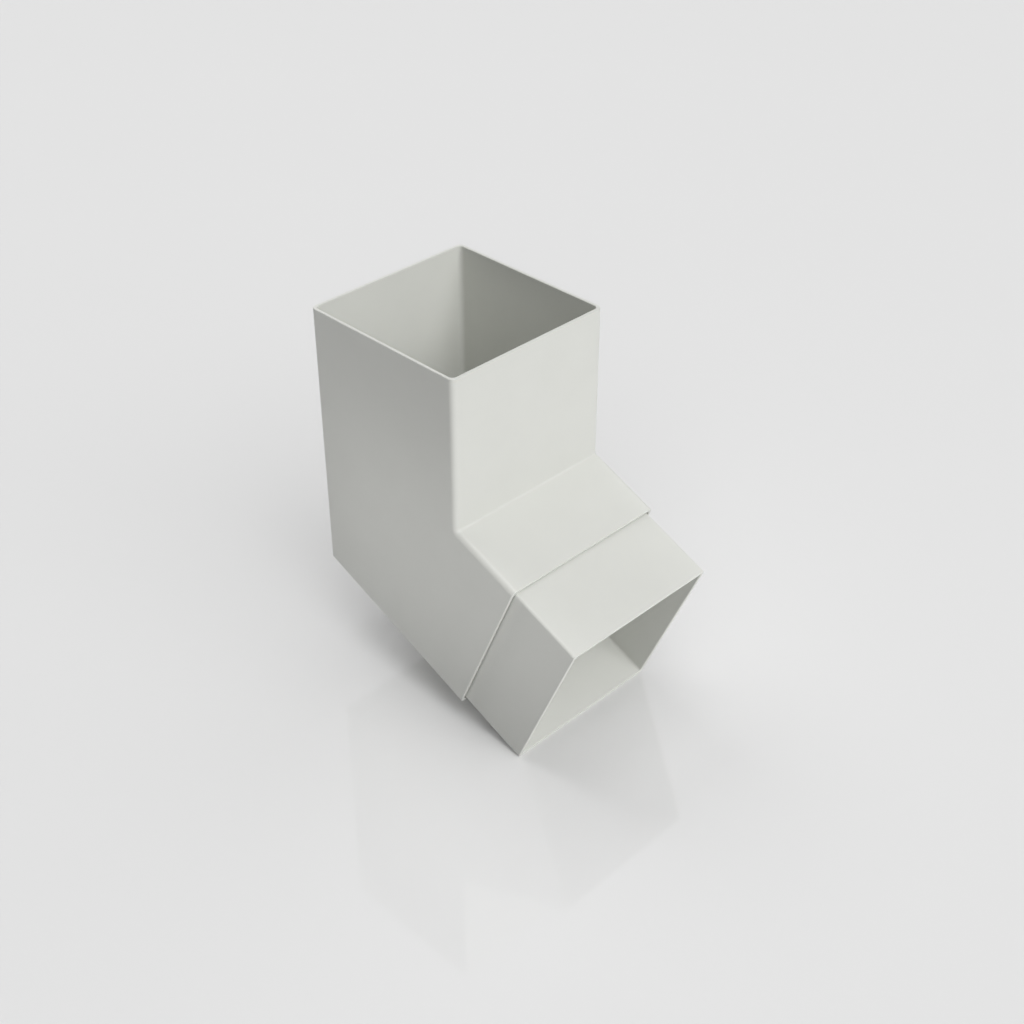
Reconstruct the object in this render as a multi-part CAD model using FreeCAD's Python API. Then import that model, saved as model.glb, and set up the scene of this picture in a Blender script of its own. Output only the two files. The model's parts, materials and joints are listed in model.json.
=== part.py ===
import FreeCAD, Part
import math
import os

# Square downspout elbow: a mitred, welded body of thin square tube with an open socket mouth on top,
# a slightly smaller sleeve standing out of its lower end, and a ring of sealant that holds the sleeve.
# The origin is the centre of the socket's mouth. +Z points up out of the mouth, +X towards the outlet.

# Driving dimensions, in millimetres and degrees

# Square tube of the body
PIPE_WIDTH = 72.0
BODY_WALL = 1.2
BODY_CORNER_OUTER_R = 2.2
BODY_CORNER_INNER_R = 1.8

# The bend: how far the outlet turns away from straight down, and the lengths along the throat face,
# from the rim to the fold and from the fold to the body's lower end
BEND_DEG = 67.5
UPPER_THROAT_LENGTH = 60.0
LOWER_THROAT_LENGTH = 30.0
THROAT_FOLD_R = 1.0

# Sleeve in the body's lower end, with the open slot that is left all round it
SLEEVE_CLEARANCE = 0.7
SLEEVE_WALL = 1.2
SLEEVE_CORNER_OUTER_R = 1.0
SLEEVE_CORNER_INNER_R = 1.0
SPIGOT_REACH = 30.0
SLEEVE_INSERT = 25.0

# Sealant in the slot: how far it stays behind the body's end face and short of the sleeve's inner end
BOND_OUTER_SETBACK = 8.0
BOND_INNER_SETBACK = 5.0

# Bevel that deburring leaves on the cut edges
EDGE_BREAK = 0.2

# Extra length by which a void runs out past the ends that it opens
OVERRUN = 10.0

# Two lengths closer than this are the same length
SAME = 1e-6

# Worked out from the driving dimensions

BEND = math.radians(BEND_DEG)
MITRE_SLOPE = math.tan(BEND / 2)
BORE_WIDTH = PIPE_WIDTH - 2 * BODY_WALL
SLEEVE_WIDTH = BORE_WIDTH - 2 * SLEEVE_CLEARANCE
SLEEVE_BORE_WIDTH = SLEEVE_WIDTH - 2 * SLEEVE_WALL

# The mitre's centre is where the two legs' axes cross
THROAT_TO_CENTRE = PIPE_WIDTH / 2 * MITRE_SLOPE
MITRE_CENTRE = FreeCAD.Vector(0, 0, -(UPPER_THROAT_LENGTH + THROAT_TO_CENTRE))
LOWER_LEG_LENGTH = LOWER_THROAT_LENGTH + THROAT_TO_CENTRE

UP = FreeCAD.Vector(0, 0, 1)
ACROSS = FreeCAD.Vector(0, 1, 0)
FRONT = FreeCAD.Vector(1, 0, 0)
OUTLET_AXIS = FreeCAD.Vector(math.sin(BEND), 0, -math.cos(BEND))
THROAT_NORMAL = FreeCAD.Vector(math.cos(BEND), 0, math.sin(BEND))
OUTLET_CENTRE = MITRE_CENTRE + OUTLET_AXIS * LOWER_LEG_LENGTH

# Places a length of tube, made upright on its own axis, at the body's lower end and pointing outwards
OUTLET_PLACE = FreeCAD.Placement(OUTLET_CENTRE, FreeCAD.Rotation(ACROSS, 180 - BEND_DEG))


def in_plane(edge, point, normal):
    """True where the whole edge lies in the plane through point."""
    stations = [edge.CenterOfMass] + [vertex.Point for vertex in edge.Vertexes]
    return all(abs((station - point).dot(normal)) < SAME for station in stations)


def side_profile(width, fold_r, overrun):
    """Side outline of a bent square bar: straight legs, a sharp heel and a rounded throat fold."""
    half = width / 2
    fold = MITRE_CENTRE + FRONT * half + UP * (half * MITRE_SLOPE)
    heel = MITRE_CENTRE - FRONT * half - UP * (half * MITRE_SLOPE)
    end_centre = OUTLET_CENTRE + OUTLET_AXIS * overrun
    rim_back = FreeCAD.Vector(-half, 0, overrun)
    rim_front = FreeCAD.Vector(half, 0, overrun)
    end_throat = end_centre + THROAT_NORMAL * half
    end_heel = end_centre - THROAT_NORMAL * half

    tangent_length = fold_r * MITRE_SLOPE
    fold_start = fold + UP * tangent_length
    fold_end = fold + OUTLET_AXIS * tangent_length
    outwards = (UP + OUTLET_AXIS).normalize()
    fold_middle = fold + outwards * (fold_r / math.cos(BEND / 2) - fold_r)

    outline = [
        Part.LineSegment(rim_back, rim_front),
        Part.LineSegment(rim_front, fold_start),
        Part.Arc(fold_start, fold_middle, fold_end),
        Part.LineSegment(fold_end, end_throat),
        Part.LineSegment(end_throat, end_heel),
        Part.LineSegment(end_heel, heel),
        Part.LineSegment(heel, rim_back),
    ]
    return Part.Wire([curve.toShape() for curve in outline])


def bent_bar(width, corner_r, fold_r, overrun=0.0):
    """Solid square bar that follows the bend, with its long corners rounded."""
    profile = Part.Face(side_profile(width, fold_r, overrun))
    profile.translate(ACROSS * (-width / 2))
    bar = profile.extrude(ACROSS * width)

    rim_centre = UP * overrun
    end_centre = OUTLET_CENTRE + OUTLET_AXIS * overrun
    corners = []
    for side in (-width / 2, width / 2):
        for edge in bar.Edges:
            on_side = in_plane(edge, ACROSS * side, ACROSS)
            at_rim = in_plane(edge, rim_centre, UP)
            at_end = in_plane(edge, end_centre, OUTLET_AXIS)
            if on_side and not at_rim and not at_end:
                corners.append(edge)
    return bar.makeFillet(corner_r, corners)


def outlet_bar(width, corner_r, start, end):
    """Straight square bar on the outlet's axis, between two distances out from the body's lower end."""
    bar = Part.makeBox(width, width, end - start, FreeCAD.Vector(-width / 2, -width / 2, start))
    corners = [edge for edge in bar.Edges if abs(edge.tangentAt(edge.FirstParameter).dot(UP)) > 1 - SAME]
    bar = bar.makeFillet(corner_r, corners)
    bar.Placement = OUTLET_PLACE
    return bar


def deburr(tube, cuts):
    """Bevels the inner and outer edges of each square-cut end, given as its centre and direction."""
    edges = [edge for edge in tube.Edges for centre, direction in cuts if in_plane(edge, centre, direction)]
    return tube.makeChamfer(EDGE_BREAK, edges)


def make_elbow_body():
    """Mitred body: one thin wall round the bend, open at the rim and at the lower end."""
    outside = bent_bar(PIPE_WIDTH, BODY_CORNER_OUTER_R, THROAT_FOLD_R)
    waterway = bent_bar(BORE_WIDTH, BODY_CORNER_INNER_R, THROAT_FOLD_R + BODY_WALL, OVERRUN)
    tube = outside.cut(waterway)
    return deburr(tube, [(FreeCAD.Vector(), UP), (OUTLET_CENTRE, OUTLET_AXIS)])


def make_spigot_sleeve():
    """Straight sleeve that stands part in the body and part out of it."""
    outside = outlet_bar(SLEEVE_WIDTH, SLEEVE_CORNER_OUTER_R, -SLEEVE_INSERT, SPIGOT_REACH)
    waterway = outlet_bar(
        SLEEVE_BORE_WIDTH, SLEEVE_CORNER_INNER_R, -SLEEVE_INSERT - OVERRUN, SPIGOT_REACH + OVERRUN
    )
    tube = outside.cut(waterway)
    inner_end = OUTLET_CENTRE - OUTLET_AXIS * SLEEVE_INSERT
    tip = OUTLET_CENTRE + OUTLET_AXIS * SPIGOT_REACH
    return deburr(tube, [(inner_end, OUTLET_AXIS), (tip, OUTLET_AXIS)])


def make_sleeve_bond():
    """Ring of sealant that fills the slot between the body's wall and the sleeve, out of sight."""
    start = BOND_INNER_SETBACK - SLEEVE_INSERT
    end = -BOND_OUTER_SETBACK
    slot = outlet_bar(BORE_WIDTH, BODY_CORNER_INNER_R, start, end)
    sleeve = outlet_bar(SLEEVE_WIDTH, SLEEVE_CORNER_OUTER_R, start - OVERRUN, end + OVERRUN)
    return slot.cut(sleeve)


PIECES = {
    "elbow_body": make_elbow_body(),
    "spigot_sleeve": make_spigot_sleeve(),
    "sleeve_bond": make_sleeve_bond(),
}

os.makedirs("parts", exist_ok=True)
for name, piece in PIECES.items():
    piece.exportStep("parts/" + name + ".step")
    print(name, "valid", piece.isValid(), "solids", len(piece.Solids), "volume", round(piece.Volume, 3))
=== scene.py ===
"""Studio picture of a square downspout elbow: its finishes, the floor, the light and the camera."""

import json
import logging
import math
from dataclasses import dataclass
from enum import Enum
from typing import Any

import bmesh
import bpy
from mathutils import Matrix, Vector


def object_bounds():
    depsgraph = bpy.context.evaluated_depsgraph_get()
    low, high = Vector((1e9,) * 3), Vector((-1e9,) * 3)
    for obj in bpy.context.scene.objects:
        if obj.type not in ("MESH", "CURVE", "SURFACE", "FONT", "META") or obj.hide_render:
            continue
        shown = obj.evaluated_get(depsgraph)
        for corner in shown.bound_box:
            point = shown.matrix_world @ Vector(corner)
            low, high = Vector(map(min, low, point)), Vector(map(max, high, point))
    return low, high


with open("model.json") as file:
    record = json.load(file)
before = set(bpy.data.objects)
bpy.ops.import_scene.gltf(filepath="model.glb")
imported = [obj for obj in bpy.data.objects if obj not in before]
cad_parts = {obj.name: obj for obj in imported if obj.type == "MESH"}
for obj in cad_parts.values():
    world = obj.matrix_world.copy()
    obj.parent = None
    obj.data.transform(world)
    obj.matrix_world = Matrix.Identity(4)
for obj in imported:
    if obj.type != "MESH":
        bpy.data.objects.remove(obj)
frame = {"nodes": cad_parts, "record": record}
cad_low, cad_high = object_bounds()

LOG = logging.getLogger("downspout_elbow")
MM = 0.001
QUARTER_TURN = 90.0

Colour = tuple[float, float, float]
WHITE: Colour = (1.0, 1.0, 1.0)

# Painted light on each cut end, as a share of the coat's colour on the faces: the up-facing rim is painted
# darker as shade, and the body's lower end and the spigot's tip are painted lighter as a highlight
RIM_PAINTED_SHADE = 0.88
BODY_END_PAINTED_HIGHLIGHT = 1.04
TIP_PAINTED_HIGHLIGHT = 1.07

# The shader node groups and the kinds of socket that they have
SKIN_GROUP = "fine_skin"
PAINTED_LIGHT_EDGE_GROUP = "cut_edge"
NUMBER = "NodeSocketFloat"
VECTOR = "NodeSocketVector"

# Most of a noise lies between these two values, which are spread out to run from 0 to 1
NOISE_LOW = 0.3
NOISE_HIGH = 0.7


class Piece(Enum):
    """The elbow's pieces, by the names of their solids."""

    BODY = "elbow_body"
    SLEEVE = "spigot_sleeve"
    BOND = "sleeve_bond"


@dataclass(frozen=True)
class CutEnd:
    """A square-cut end of a tube.

    Attributes:
        point: A point in the plane of the cut, in metres.
        outwards: Unit direction out of the tube.
        tone: Painted light on the cut, as a share of the coat's colour on the faces; below 1 is painted
            shade, above 1 a painted highlight.
    """

    point: Vector
    outwards: Vector
    tone: float


@dataclass(frozen=True)
class ElbowFrame:
    """Where the elbow's ends and its bend lie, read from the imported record's mounts.

    Attributes:
        socket_mouth: The body's upper end, where the pipe above goes in.
        spigot_tip: The sleeve's free end.
        spigot_reach: How far the sleeve stands out of the body, in metres.
    """

    socket_mouth: CutEnd
    spigot_tip: CutEnd
    spigot_reach: float

    @classmethod
    def from_record(cls, record: dict[str, Any]) -> "ElbowFrame":
        """Reads the socket and the spigot.

        Args:
            record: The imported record.

        Returns:
            The elbow's frame, in metres.
        """
        mounts = {mount["name"]: mount for mount in record["mounts"]}
        socket = mounts["upper_socket"]
        spigot = mounts["outlet_spigot"]
        # The rim gets painted shade and the spigot's tip a painted highlight
        return cls(
            socket_mouth=CutEnd(Vector(socket["pos_m"]), Vector(socket["axis"]).normalized(), RIM_PAINTED_SHADE),
            spigot_tip=CutEnd(Vector(spigot["pos_m"]), Vector(spigot["axis"]).normalized(), TIP_PAINTED_HIGHLIGHT),
            spigot_reach=spigot["dims"]["length_mm"] * MM,
        )

    @property
    def body_end(self) -> CutEnd:
        """The body's lower end, which the sleeve stands out of."""
        tip = self.spigot_tip
        # The body's lower end gets a painted highlight
        return CutEnd(tip.point - tip.outwards * self.spigot_reach, tip.outwards, BODY_END_PAINTED_HIGHLIGHT)

    @property
    def mitre_centre(self) -> Vector:
        """The point where the socket's axis and the outlet's axis cross."""
        tip = self.spigot_tip
        back_along = (tip.point.x - self.socket_mouth.point.x) / tip.outwards.x
        return tip.point - tip.outwards * back_along


class NodeSheet:
    """Short way to fill a node tree.

    Attributes:
        tree: The tree that it fills.
    """

    def __init__(self, tree: bpy.types.NodeTree) -> None:
        """Keeps the tree and clears it."""
        self.tree = tree
        self.tree.nodes.clear()

    def add(self, kind: str, settings: dict[str, Any] | None = None, **inputs: Any) -> bpy.types.Node:
        """Adds a node.

        Args:
            kind: The node's type name, without the ShaderNode in front where it has one.
            settings: Properties of the node, such as its operation.
            **inputs: Values or output sockets by input name, with _ for a space.

        Returns:
            The new node.
        """
        full = kind if kind.startswith("NodeGroup") else "ShaderNode" + kind
        node = self.tree.nodes.new(full)
        for name, value in (settings or {}).items():
            setattr(node, name, value)
        for name, value in inputs.items():
            self.feed(node.inputs[name.replace("_", " ")], value)
        return node

    def feed(self, socket: bpy.types.NodeSocket, value: Any) -> None:
        """Links an output to a socket, or sets the socket's own value.

        Args:
            socket: The input socket.
            value: The output socket or the value.
        """
        if isinstance(value, bpy.types.NodeSocket):
            self.tree.links.new(value, socket)
        else:
            socket.default_value = value

    def combine(self, kind: str, *values: Any, operation: str | None = None) -> bpy.types.Node:
        """Adds a node whose inputs share a name, so that they are filled in order.

        Args:
            kind: The node's type name, as for add.
            *values: Values or output sockets, in the order of the node's inputs.
            operation: What the node does, where it has a choice.

        Returns:
            The new node.
        """
        node = self.add(kind, {"operation": operation} if operation else None)
        for socket, value in zip(node.inputs, values):
            self.feed(socket, value)
        return node

    def mix_colours(self, mask: bpy.types.NodeSocket, first: Any, second: Any) -> bpy.types.NodeSocket:
        """Adds a node that mixes two colours.

        Args:
            mask: Where the second colour shows.
            first: The colour, or its output socket, where the mask is 0.
            second: The colour, or its output socket, where the mask is 1.

        Returns:
            The mixed colour's output socket.
        """
        node = self.add("Mix", {"data_type": "RGBA"})
        sockets = {socket.identifier: socket for socket in (*node.inputs, *node.outputs)}
        self.feed(sockets["Factor_Float"], mask)
        self.feed(sockets["A_Color"], first)
        self.feed(sockets["B_Color"], second)
        return sockets["Result_Color"]


def new_group(name: str, inputs: dict[str, str], outputs: dict[str, str]) -> NodeSheet:
    """Makes an empty shader node group with named sockets.

    Args:
        name: The group's name.
        inputs: Socket type by input name.
        outputs: Socket type by output name.

    Returns:
        A sheet on the group's tree.
    """
    tree = bpy.data.node_groups.new(name, "ShaderNodeTree")
    for socket, kind in inputs.items():
        tree.interface.new_socket(name=socket, in_out="INPUT", socket_type=kind)
    for socket, kind in outputs.items():
        tree.interface.new_socket(name=socket, in_out="OUTPUT", socket_type=kind)
    return NodeSheet(tree)


@dataclass(frozen=True)
class SkinLayer:
    """One noise of the skin that the finishes share.

    Attributes:
        output: The group's output that it feeds.
        size_input: The group's input that gives its size.
        detail: How many finer noises it adds on top.
        fineness: How many times finer it is than its size says.
    """

    output: str
    size_input: str
    detail: float
    fineness: float = 1.0


SKIN_LAYERS = (
    SkinLayer("Relief", "Relief Size", detail=1.5),
    SkinLayer("Clouds", "Cloud Size", detail=3.0),
    SkinLayer("Grain", "Relief Size", detail=2.0, fineness=2.6),
)


def make_fine_skin() -> bpy.types.NodeTree:
    """Makes the group for a finish's skin: a shallow relief, broad clouds and a fine grain.

    Returns:
        The node group.
    """
    sheet = new_group(
        SKIN_GROUP,
        {"Vector": VECTOR, "Relief Size": NUMBER, "Cloud Size": NUMBER},
        {layer.output: NUMBER for layer in SKIN_LAYERS},
    )
    given = sheet.add("NodeGroupInput").outputs
    put_out = sheet.add("NodeGroupOutput").inputs
    for layer in SKIN_LAYERS:
        scale = sheet.combine("Math", layer.fineness, given[layer.size_input], operation="DIVIDE")
        noise = sheet.add(
            "TexNoise",
            Vector=given["Vector"],
            Scale=scale.outputs["Value"],
            Detail=layer.detail,
        )
        spread = sheet.add("MapRange", Value=noise.outputs["Fac"], From_Min=NOISE_LOW, From_Max=NOISE_HIGH)
        sheet.feed(put_out[layer.output], spread.outputs["Result"])
    return sheet.tree


def make_painted_light_edge() -> bpy.types.NodeTree:
    """Makes the group that masks the last of a surface before a square-cut end, where the painted shade or
    painted highlight goes.

    Returns:
        The node group.
    """
    sheet = new_group(
        PAINTED_LIGHT_EDGE_GROUP,
        {"Vector": VECTOR, "End Point": VECTOR, "Outwards": VECTOR, "Reach": NUMBER},
        {"Mask": NUMBER},
    )
    given = sheet.add("NodeGroupInput").outputs
    put_out = sheet.add("NodeGroupOutput").inputs
    offset = sheet.combine("VectorMath", given["Vector"], given["End Point"], operation="SUBTRACT")
    step = offset.outputs["Vector"]
    along = sheet.combine("VectorMath", step, given["Outwards"], operation="DOT_PRODUCT")
    distance = sheet.combine("Math", along.outputs["Value"], operation="ABSOLUTE")
    fade = sheet.add(
        "MapRange",
        {"interpolation_type": "SMOOTHSTEP"},
        Value=distance.outputs["Value"],
        From_Max=given["Reach"],
        To_Min=1.0,
        To_Max=0.0,
    )
    sheet.feed(put_out["Mask"], fade.outputs["Result"])
    return sheet.tree


def with_alpha(colour: Colour, tone: float = 1.0) -> tuple[float, ...]:
    """A colour times its tone, with the full alpha that a socket asks for."""
    return (*(tone * part for part in colour), 1.0)


@dataclass(frozen=True)
class SkinFinish:
    """A finish whose skin has a shallow relief, faint clouds of colour and a fine grain of gloss.

    Attributes:
        colour: Its colour, linear.
        cloud_colour: The colour that the clouds drift to, linear.
        cloud_size: Size of the clouds, in metres.
        relief_size: Size of the relief's bumps, in metres.
        relief_height: Height of the bumps, in metres.
        roughness: Middle roughness.
        roughness_swing: How far the grain moves the roughness either way.
        edge_reach: How far from a cut end the painted light reaches, in metres.
    """

    colour: Colour
    cloud_colour: Colour
    cloud_size: float
    relief_size: float
    relief_height: float
    roughness: float
    roughness_swing: float
    edge_reach: float = 0.35 * MM

    def material(self, name: str, ends: tuple[CutEnd, ...] = ()) -> bpy.types.Material:
        """Makes the finish for one piece.

        Args:
            name: The material's name.
            ends: The piece's cut ends, where painted shade or a painted highlight goes.

        Returns:
            The material.
        """
        made = bpy.data.materials.new(name)
        made.use_nodes = True
        sheet = NodeSheet(made.node_tree)
        place = sheet.add("TexCoord").outputs["Object"]
        skin = sheet.add(
            "Group",
            {"node_tree": bpy.data.node_groups[SKIN_GROUP]},
            Vector=place,
            Relief_Size=self.relief_size,
            Cloud_Size=self.cloud_size,
        ).outputs
        tint = sheet.mix_colours(skin["Clouds"], with_alpha(self.colour), with_alpha(self.cloud_colour))
        # Each cut end's strip is painted lighter or darker to stand in for light and shade: painted shade
        # on the rim, a painted highlight on the body's lower end and the spigot's tip
        for end in ends:
            edge = sheet.add(
                "Group",
                {"node_tree": bpy.data.node_groups[PAINTED_LIGHT_EDGE_GROUP]},
                Vector=place,
                End_Point=end.point,
                Outwards=end.outwards,
                Reach=self.edge_reach,
            )
            tint = sheet.mix_colours(edge.outputs["Mask"], tint, with_alpha(self.colour, end.tone))
        gloss = sheet.add(
            "MapRange",
            Value=skin["Grain"],
            To_Min=self.roughness - self.roughness_swing,
            To_Max=self.roughness + self.roughness_swing,
        )
        bump = sheet.add("Bump", Height=skin["Relief"], Distance=self.relief_height)
        shader = sheet.add(
            "BsdfPrincipled",
            Base_Color=tint,
            Roughness=gloss.outputs["Result"],
            Normal=bump.outputs["Normal"],
        )
        sheet.add("OutputMaterial", Surface=shader.outputs["BSDF"])
        return made


@dataclass(frozen=True)
class CoatFinish(SkinFinish):
    """Satin powder coat on thin metal, with a fine orange peel."""

    colour: Colour = (0.694, 0.701, 0.664)
    cloud_colour: Colour = (0.682, 0.689, 0.652)
    cloud_size: float = 14.0 * MM
    relief_size: float = 1.1 * MM
    relief_height: float = 0.003 * MM
    roughness: float = 0.36
    roughness_swing: float = 0.04


@dataclass(frozen=True)
class SealantFinish(SkinFinish):
    """Cured sealant, matt and dark, as it lies in the slot."""

    colour: Colour = (0.055, 0.055, 0.052)
    cloud_colour: Colour = (0.085, 0.085, 0.080)
    cloud_size: float = 6.0 * MM
    relief_size: float = 0.8 * MM
    relief_height: float = 0.02 * MM
    roughness: float = 0.7
    roughness_swing: float = 0.08


@dataclass
class Elbow:
    """The elbow's three pieces with their finishes.

    Attributes:
        place: Where its ends lie.
        coat: The finish of the body and the sleeve.
        sealant: The finish of the ring between them.
    """

    place: ElbowFrame
    coat: CoatFinish
    sealant: SealantFinish

    def dress(self, nodes: dict[str, bpy.types.Object]) -> dict[Piece, bpy.types.Material]:
        """Gives each solid its finish.

        Args:
            nodes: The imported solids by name.

        Returns:
            The material that each piece wears.
        """
        body_ends = (self.place.socket_mouth, self.place.body_end)
        sleeve_ends = (self.place.spigot_tip,)
        finishes = {
            Piece.BODY: self.coat.material("elbow_body_coat", body_ends),
            Piece.SLEEVE: self.coat.material("spigot_sleeve_coat", sleeve_ends),
            Piece.BOND: self.sealant.material("sealant"),
        }
        for piece, finish in finishes.items():
            for slot in nodes[piece.value].material_slots:
                slot.material = finish
        return finishes


def put_in_scene(name: str, data: bpy.types.ID) -> bpy.types.Object:
    """Makes an object and links it to the scene.

    Args:
        name: The object's name.
        data: Its mesh, lamp or camera.

    Returns:
        The object.
    """
    obj = bpy.data.objects.new(name, data)
    bpy.context.scene.collection.objects.link(obj)
    return obj


def direction(azimuth: float, elevation: float) -> Vector:
    """Works out a direction as seen from the object.

    Args:
        azimuth: Anticlockwise from +X, seen from above, in degrees.
        elevation: Above the horizon, in degrees.

    Returns:
        The unit direction.
    """
    turn = math.radians(azimuth)
    rise = math.radians(elevation)
    level = math.cos(rise)
    return Vector((math.cos(turn) * level, math.sin(turn) * level, math.sin(rise)))


@dataclass
class StudioFloor:
    """Plain pale floor with a faint gloss, wide enough to fill every view.

    Attributes:
        height: The floor's level, in metres.
        half_width: Half its side, in metres.
        colour: Its colour, linear.
        roughness: Its roughness.
        gloss_ior: Index of refraction of its glossy skin, which sets its faint mirror image.
    """

    height: float
    half_width: float = 6.0
    colour: Colour = (0.80, 0.80, 0.80)
    roughness: float = 0.0
    gloss_ior: float = 1.75

    def build(self) -> bpy.types.Object:
        """Makes the floor.

        Returns:
            The floor.
        """
        shape = bmesh.new()
        bmesh.ops.create_grid(shape, x_segments=1, y_segments=1, size=self.half_width)
        bmesh.ops.translate(shape, verts=shape.verts, vec=(0.0, 0.0, self.height))
        mesh = bpy.data.meshes.new("studio_floor")
        shape.to_mesh(mesh)
        shape.free()
        mesh.materials.append(self._material())
        floor = put_in_scene("studio_floor", mesh)
        return floor

    def _material(self) -> bpy.types.Material:
        """Makes the floor's finish.

        Returns:
            The material.
        """
        made = bpy.data.materials.new("studio_floor")
        made.use_nodes = True
        sheet = NodeSheet(made.node_tree)
        shader = sheet.add(
            "BsdfPrincipled",
            Base_Color=with_alpha(self.colour),
            Roughness=self.roughness,
            IOR=self.gloss_ior,
        )
        sheet.add("OutputMaterial", Surface=shader.outputs["BSDF"])
        return made


class Lit(Enum):
    """What a lamp lights: the elbow, only the gloss on the elbow's edges, or the floor."""

    ELBOW = "elbow"
    EDGES = "edges"
    FLOOR = "floor"


def hang_lamp(lamp: bpy.types.Light, side: Vector, receivers: bpy.types.Collection) -> bpy.types.Object:
    """Hangs a lamp in the scene.

    Args:
        lamp: The lamp.
        side: Unit direction that its light comes from.
        receivers: The collection that says what it lights.

    Returns:
        The lamp's object.
    """
    obj = put_in_scene(lamp.name, lamp)
    obj.rotation_mode = "QUATERNION"
    obj.rotation_quaternion = side.to_track_quat("Z", "Y")
    obj.light_linking.receiver_collection = receivers
    return obj


@dataclass(frozen=True)
class SoftLamp:
    """A far, wide lamp.

    Attributes:
        name: The lamp's name.
        lit: What it lights.
        azimuth: Where it stands, anticlockwise from +X seen from above, in degrees.
        elevation: How high it stands above the horizon, in degrees.
        spread: How wide it looks from the object, in degrees.
        strength: How bright it makes a white surface that faces it.
    """

    name: str
    lit: Lit
    azimuth: float
    elevation: float
    spread: float
    strength: float

    def build(self, receivers: bpy.types.Collection) -> bpy.types.Object:
        """Makes the lamp.

        Args:
            receivers: The collection that says what it lights.

        Returns:
            The lamp's object.
        """
        lamp = bpy.data.lights.new(self.name, "SUN")
        lamp.energy = math.pi * self.strength
        lamp.angle = math.radians(self.spread)
        obj = hang_lamp(lamp, direction(self.azimuth, self.elevation), receivers)
        obj.visible_diffuse = self.lit is not Lit.EDGES
        obj.visible_glossy = self.lit is not Lit.FLOOR
        return obj


@dataclass(frozen=True)
class FillCard:
    """A small lit card that stands close to the elbow's near side and lifts the lower part of it.

    Attributes:
        place: The card's centre, in metres.
        side: Unit direction from the elbow to the card.
        width: Its width along X, in metres.
        height: Its height, in metres.
        beam: How wide the light leaves it, in degrees, which keeps it off the spigot's tip.
        power: The light that it gives, in watts.
    """

    place: Vector
    side: Vector
    width: float
    height: float
    beam: float
    power: float

    def build(self, receivers: bpy.types.Collection) -> bpy.types.Object:
        """Makes the card's lamp.

        Args:
            receivers: The collection that says what it lights.

        Returns:
            The lamp's object.
        """
        lamp = bpy.data.lights.new("fill_card", "AREA")
        lamp.shape = "RECTANGLE"
        lamp.size = self.width
        lamp.size_y = self.height
        lamp.spread = math.radians(self.beam)
        lamp.energy = self.power
        obj = hang_lamp(lamp, self.side, receivers)
        obj.location = self.place
        obj.visible_glossy = False
        return obj


@dataclass
class StudioLight:
    """The lamps, and the pale backdrop in a room that gives no light of its own.

    Attributes:
        lamps: The wide lamps.
        card: The small card by the elbow's near side.
        room: Strength of the even light from every side.
        backdrop: What the camera and reflections see past the floor, linear.
    """

    lamps: tuple[SoftLamp, ...]
    card: FillCard
    room: float = 0.0
    backdrop: float = 0.768

    def build(self, floor: bpy.types.Object) -> list[bpy.types.Object]:
        """Makes the lamps and the world.

        Args:
            floor: The floor, which has lamps of its own.

        Returns:
            The lamps' objects.
        """
        receivers = self._receivers(floor)
        hung = [lamp.build(receivers[lamp.lit]) for lamp in self.lamps]
        hung.append(self.card.build(receivers[Lit.ELBOW]))
        self._build_world()
        return hung

    @staticmethod
    def _receivers(floor: bpy.types.Object) -> dict[Lit, bpy.types.Collection]:
        """Makes the collections that keep the elbow's lamps off the floor, and the floor's off the elbow.

        Args:
            floor: The floor.

        Returns:
            The collection for each kind of lamp.
        """
        receivers = {}
        for lit in Lit:
            group = bpy.data.collections.new("lamps_for_" + lit.value)
            group.objects.link(floor)
            link = group.collection_objects[0].light_linking
            link.link_state = "INCLUDE" if lit is Lit.FLOOR else "EXCLUDE"
            receivers[lit] = group
        return receivers

    def _build_world(self) -> None:
        """Makes the world, which shows the backdrop to the camera and to reflections alone."""
        world = bpy.data.worlds.new("studio")
        world.use_nodes = True
        bpy.context.scene.world = world
        sheet = NodeSheet(world.node_tree)
        path = sheet.add("LightPath").outputs
        seen = path["Is Camera Ray"]
        for kind in ("Is Glossy Ray", "Is Transmission Ray"):
            seen = sheet.combine("Math", seen, path[kind], operation="MAXIMUM").outputs["Value"]
        shades = []
        for strength in (self.room, self.backdrop):
            shade = sheet.add("Background", Color=with_alpha(WHITE), Strength=strength)
            shades.append(shade.outputs["Background"])
        mix = sheet.combine("MixShader", seen, *shades)
        sheet.add("OutputWorld", Surface=mix.outputs["Shader"])


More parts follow.
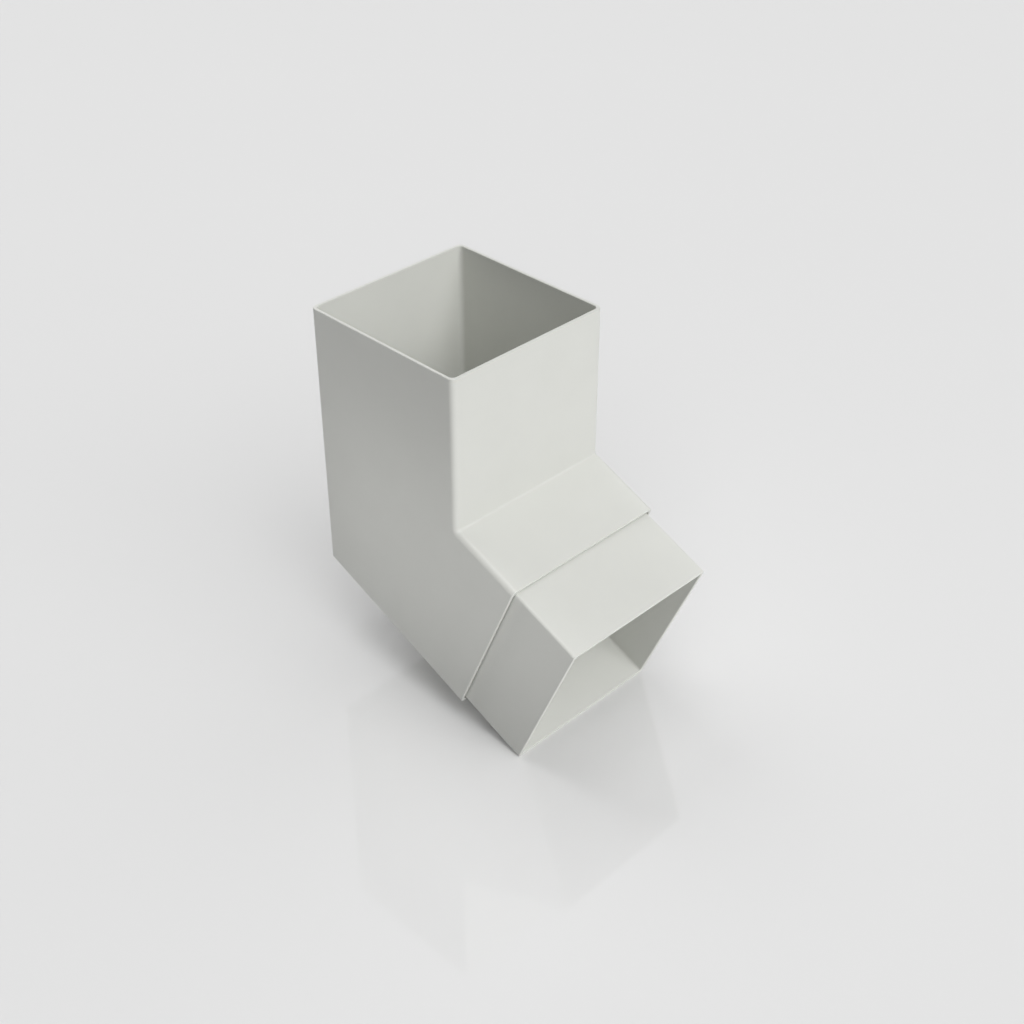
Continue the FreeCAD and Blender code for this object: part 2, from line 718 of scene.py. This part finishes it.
@dataclass
class ProductCamera:
    """Camera at the photograph's viewing angle.

    Attributes:
        target: The point that the view is measured from.
        azimuth: Where the camera stands, anticlockwise from +X seen from above, in degrees.
        elevation: How high it looks down from, in degrees.
        distance: From the camera to the target's plane, in metres.
        past_right: How far right of the target the middle of the view lies, in metres.
        past_up: The same upwards, in metres.
        lens_pixels: Focal length, in pixels of the square picture.
        image_pixels: Side of the square picture, in pixels.
        sensor_mm: Side of the sensor, in millimetres.
        nearest: Nearest distance that shows, in metres.
        farthest: Farthest distance that shows, in metres.
    """

    target: Vector
    azimuth: float = -45.0
    elevation: float = 35.112
    distance: float = 595.06 * MM
    past_right: float = 19.25 * MM
    past_up: float = -2.543 * MM
    lens_pixels: float = 1571.9
    image_pixels: int = 1024
    sensor_mm: float = 36.0
    nearest: float = 0.01
    farthest: float = 50.0

    def build(self) -> bpy.types.Object:
        """Makes the camera and gives it to the scene.

        Returns:
            The camera.
        """
        data = bpy.data.cameras.new("product_camera")
        data.sensor_width = self.sensor_mm
        data.lens = self.sensor_mm * self.lens_pixels / self.image_pixels
        data.clip_start = self.nearest
        data.clip_end = self.farthest
        back = direction(self.azimuth, self.elevation)
        right = direction(self.azimuth + QUARTER_TURN, 0.0)
        up = back.cross(right)
        eye = self.target + back * self.distance + right * self.past_right + up * self.past_up
        turn = Matrix((right, up, back)).transposed().to_4x4()
        camera = put_in_scene("product_camera", data)
        camera.matrix_world = Matrix.Translation(eye) @ turn
        bpy.context.scene.camera = camera
        return camera


LAMPS = (
    SoftLamp("key_low", Lit.ELBOW, azimuth=0.0, elevation=15.0, spread=40.0, strength=0.172),
    SoftLamp("key_near", Lit.ELBOW, azimuth=-20.0, elevation=30.0, spread=40.0, strength=0.132),
    SoftLamp("key", Lit.ELBOW, azimuth=0.0, elevation=40.0, spread=40.0, strength=0.394),
    SoftLamp("key_high", Lit.ELBOW, azimuth=0.0, elevation=65.0, spread=40.0, strength=0.214),
    SoftLamp("back", Lit.ELBOW, azimuth=180.0, elevation=40.0, spread=40.0, strength=0.47),
    SoftLamp("back_high", Lit.ELBOW, azimuth=135.0, elevation=65.0, spread=40.0, strength=0.202),
    SoftLamp("sheen", Lit.EDGES, azimuth=0.0, elevation=90.0, spread=24.0, strength=0.09),
    SoftLamp("floor_low", Lit.FLOOR, azimuth=0.0, elevation=20.0, spread=50.0, strength=0.134),
    SoftLamp("floor_front", Lit.FLOOR, azimuth=0.0, elevation=45.0, spread=50.0, strength=0.114),
    SoftLamp("floor_near", Lit.FLOOR, azimuth=-45.0, elevation=45.0, spread=50.0, strength=0.347),
    SoftLamp("floor_wide", Lit.FLOOR, azimuth=45.0, elevation=45.0, spread=110.0, strength=0.462),
    SoftLamp("floor_back", Lit.FLOOR, azimuth=180.0, elevation=55.0, spread=30.0, strength=0.154),
    SoftLamp("floor_top_back", Lit.FLOOR, azimuth=-135.0, elevation=80.0, spread=20.0, strength=0.085),
    SoftLamp("floor_top_near", Lit.FLOOR, azimuth=-45.0, elevation=80.0, spread=20.0, strength=0.052),
)
CARD = FillCard(
    place=Vector((35.0, -140.0, -75.0)) * MM,
    side=Vector((0.0, -1.0, 0.0)),
    width=140.0 * MM,
    height=80.0 * MM,
    beam=45.0,
    power=0.0043,
)


def main() -> None:
    """Builds the scene, piece by piece, and reports each one."""
    logging.basicConfig(level=logging.INFO)
    bpy.context.scene.view_settings.view_transform = "Standard"
    for group in (make_fine_skin(), make_painted_light_edge()):
        LOG.info("%s is ready", group.name)
    place = ElbowFrame.from_record(frame["record"])
    elbow = Elbow(place, CoatFinish(), SealantFinish())
    for piece, finish in elbow.dress(frame["nodes"]).items():
        LOG.info("%s wears %s", piece.value, finish.name)
    floor = StudioFloor(height=cad_low.z).build()
    LOG.info("%s lies %.1f mm below the mouth", floor.name, -cad_low.z / MM)
    for lamp in StudioLight(LAMPS, CARD).build(floor):
        LOG.info("%s is hung", lamp.name)
    camera = ProductCamera(place.mitre_centre).build()
    LOG.info("%s is set up", camera.name)


if __name__ == "__main__":
    main()
